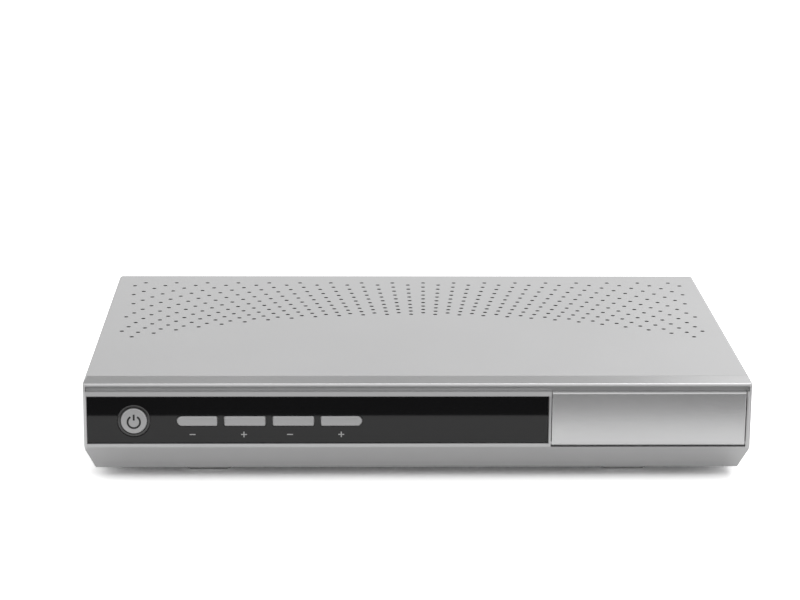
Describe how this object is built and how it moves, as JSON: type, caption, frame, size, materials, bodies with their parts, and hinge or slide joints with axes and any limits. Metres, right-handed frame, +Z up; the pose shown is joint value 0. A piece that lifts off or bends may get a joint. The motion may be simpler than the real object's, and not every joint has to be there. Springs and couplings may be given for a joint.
{
  "type": "satellite tv receiver",
  "caption": "Flat silver set-top box with a perforated bent-steel cover, moulded fascia with dark window, sprung keys and a hinged card flap, and rear aerial, phono, SCART and power sockets.",
  "frame": {"origin": "centre of the bounding box on the table plane, under the feet", "axes": "+X to the right seen from the front, +Y from the fascia to the rear panel, +Z up"},
  "size_m": [0.2552, 0.1736, 0.039],
  "materials": {
    "cover_paint": "satin silver-grey paint on bent steel",
    "tray_steel": "zinc-coated sheet",
    "fascia_silver": "silver lacquer on moulded plastic",
    "flap_silver": "silver lacquer on moulded plastic",
    "window_black": "polished dark acrylic",
    "key_silver": "silver lacquer",
    "ring_clear": "smoked light guide",
    "foot_rubber": "matt black",
    "screw_steel": "plated",
    "board_green": "solder mask",
    "part_black": "moulded",
    "display_grey": "moulded",
    "lamp_red": "tinted lens",
    "can_tin": "tinned sheet",
    "socket_nickel": "nickel plate",
    "socket_black": "moulded",
    "insert_yellow": "moulded",
    "insert_white": "moulded",
    "insert_red": "moulded",
    "heatsink_alu": "extruded",
    "sleeve_dark": "shrink sleeve",
    "crystal_can": "drawn can"
  },
  "bodies": {
    "housing": {"top_cover": "cover_paint", "bottom_tray": "tray_steel", "front_fascia": "fascia_silver", "window_plate": "window_black", "power_light_ring": "ring_clear", "feet": "foot_rubber", "cover_screws": "screw_steel", "board_screws": "screw_steel", "front_board_screws": "screw_steel", "main_board": "board_green", "front_board": "board_green", "tact_switches": "part_black", "display_module": "display_grey", "infrared_eye": "part_black", "status_lamps": "lamp_red", "board_link": "socket_black", "card_reader": "part_black", "tuner_can": "can_tin", "antenna_sockets": "socket_nickel", "antenna_nuts": "socket_nickel", "serial_socket": "socket_nickel", "serial_insert": "socket_black", "serial_posts": "socket_nickel", "scart_socket": "socket_black", "av_housing": "socket_black", "av_barrels": "socket_nickel", "av_insert_video": "insert_yellow", "av_insert_left": "insert_white", "av_insert_right": "insert_red", "dc_jack": "socket_black", "dc_pin": "socket_nickel", "decoder_chip": "part_black", "decoder_heatsink": "heatsink_alu", "memory_chips": "part_black", "capacitors": "sleeve_dark", "power_coils": "part_black", "crystal": "crystal_can"},
    "power_button_body": {"power_button": "key_silver"},
    "volume_down_key_body": {"volume_down_key": "key_silver"},
    "volume_up_key_body": {"volume_up_key": "key_silver"},
    "channel_down_key_body": {"channel_down_key": "key_silver"},
    "channel_up_key_body": {"channel_up_key": "key_silver"},
    "card_flap_body": {"card_flap": "flap_silver"}
  },
  "joints": [
    {"name": "power_press", "type": "slide", "parent": "housing", "child": "power_button_body", "axis": [0, 1, 0], "range_m": [0, 0.0007], "stiffness_N_per_m": 600},
    {"name": "volume_down_press", "type": "slide", "parent": "housing", "child": "volume_down_key_body", "axis": [0, 1, 0], "range_m": [0, 0.0007], "stiffness_N_per_m": 600},
    {"name": "volume_up_press", "type": "slide", "parent": "housing", "child": "volume_up_key_body", "axis": [0, 1, 0], "range_m": [0, 0.0007], "stiffness_N_per_m": 600},
    {"name": "channel_down_press", "type": "slide", "parent": "housing", "child": "channel_down_key_body", "axis": [0, 1, 0], "range_m": [0, 0.0007], "stiffness_N_per_m": 600},
    {"name": "channel_up_press", "type": "slide", "parent": "housing", "child": "channel_up_key_body", "axis": [0, 1, 0], "range_m": [0, 0.0007], "stiffness_N_per_m": 600},
    {"name": "card_flap_hinge", "type": "hinge", "parent": "housing", "child": "card_flap_body", "pos_m": [0.08687, -0.08565, 0.0149], "axis": [1, 0, 0], "range_deg": [0, 95]}
  ]
}
